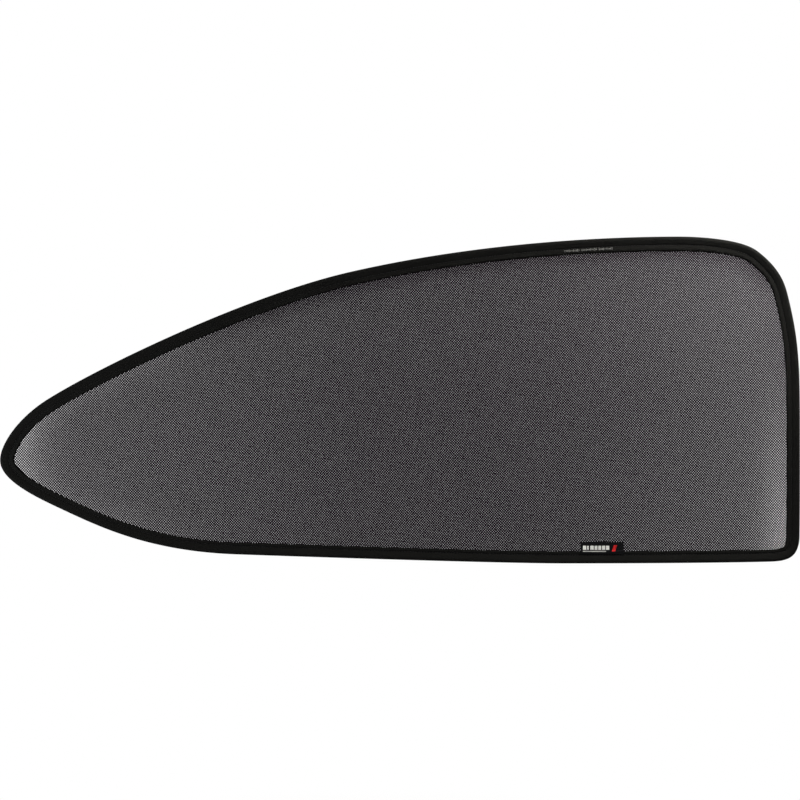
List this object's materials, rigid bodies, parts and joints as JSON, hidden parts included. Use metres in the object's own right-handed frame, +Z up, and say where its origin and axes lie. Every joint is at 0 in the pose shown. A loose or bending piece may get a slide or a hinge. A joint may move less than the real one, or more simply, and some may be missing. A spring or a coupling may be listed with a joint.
{
  "type": "car side window sunshade",
  "caption": "Framed mesh sunshade shaped to a car's side window, with a pointed nose and a folded edge tape that hides a spring wire and flat magnets.",
  "frame": {"origin": "middle of the whole shade: half its length, height and thickness", "axes": "+X from the nose to the rear edge, +Y towards the window, from the cabin face to the back, +Z up, as the shade stands in the door"},
  "size_m": [0.93, 0.006, 0.38],
  "materials": {
    "mesh_cloth": "matt black mesh cloth with fine diagonal rows of holes",
    "edge_tape": "matt black fine knitted tape",
    "label_weave": "fine black woven label with pale woven bars",
    "spring_steel": "bare drawn spring steel",
    "magnet_nickel": "nickel plated magnet"
  },
  "bodies": {
    "root": {"mesh_panel": "mesh_cloth", "edge_binding": "edge_tape", "frame_wire": "spring_steel", "wire_ferrule": "spring_steel", "woven_label": "label_weave", "magnet_01": "magnet_nickel", "magnet_02": "magnet_nickel", "magnet_03": "magnet_nickel", "magnet_04": "magnet_nickel", "magnet_05": "magnet_nickel", "magnet_06": "magnet_nickel", "magnet_07": "magnet_nickel", "magnet_08": "magnet_nickel", "magnet_09": "magnet_nickel", "magnet_10": "magnet_nickel", "magnet_11": "magnet_nickel", "magnet_12": "magnet_nickel"}
  },
  "joints": []
}
